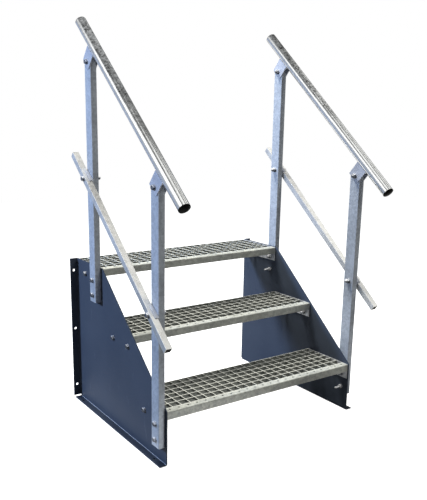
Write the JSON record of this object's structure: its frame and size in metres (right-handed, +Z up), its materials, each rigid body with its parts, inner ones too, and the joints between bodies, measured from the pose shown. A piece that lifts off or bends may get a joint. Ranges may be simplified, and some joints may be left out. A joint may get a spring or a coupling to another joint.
{
  "type": "freestanding steel stair",
  "caption": "Free-standing steel stair: grating treads with perforated nosings between folded sheet stringers, with posts, round handrails and square knee rails on both sides.",
  "frame": {"origin": "on the floor, in the middle of the box that encloses the stair", "axes": "+X across the stair to the right seen from the front, +Y from the front to the wall behind the stair, +Z up"},
  "size_m": [0.993, 0.8668, 1.5561],
  "materials": {
    "grating": "hot-dip galvanised",
    "nosing": "hot-dip galvanised",
    "end_plate": "hot-dip galvanised",
    "stringer": "powder coated",
    "handrail": "hot-dip galvanised",
    "knee_rail": "hot-dip galvanised",
    "post": "hot-dip galvanised",
    "rail_bracket": "hot-dip galvanised",
    "knee_rail_saddle": "hot-dip galvanised",
    "handrail_cap": "moulded",
    "knee_rail_plug": "moulded"
  },
  "bodies": {
    "root": {"handrail_cap_lower_left": "handrail_cap", "handrail_cap_lower_right": "handrail_cap", "handrail_cap_upper_left": "handrail_cap", "handrail_cap_upper_right": "handrail_cap", "handrail_left": "handrail", "handrail_right": "handrail", "knee_rail_left": "knee_rail", "knee_rail_plug_lower_left": "knee_rail_plug", "knee_rail_plug_lower_right": "knee_rail_plug", "knee_rail_plug_upper_left": "knee_rail_plug", "knee_rail_plug_upper_right": "knee_rail_plug", "knee_rail_right": "knee_rail", "knee_rail_saddle_front_left": "knee_rail_saddle", "knee_rail_saddle_front_right": "knee_rail_saddle", "knee_rail_saddle_rear_left": "knee_rail_saddle", "knee_rail_saddle_rear_right": "knee_rail_saddle", "post_front_left": "post", "post_front_right": "post", "post_rear_left": "post", "post_rear_right": "post", "rail_bracket_front_left": "rail_bracket", "rail_bracket_front_right": "rail_bracket", "rail_bracket_rear_left": "rail_bracket", "rail_bracket_rear_right": "rail_bracket", "stringer_left": "stringer", "stringer_right": "stringer", "tread_lower_end_plate_left": "end_plate", "tread_lower_end_plate_right": "end_plate", "tread_lower_grating": "grating", "tread_lower_nosing": "nosing", "tread_middle_end_plate_left": "end_plate", "tread_middle_end_plate_right": "end_plate", "tread_middle_grating": "grating", "tread_middle_nosing": "nosing", "tread_upper_end_plate_left": "end_plate", "tread_upper_end_plate_right": "end_plate", "tread_upper_grating": "grating", "tread_upper_nosing": "nosing"}
  },
  "joints": []
}
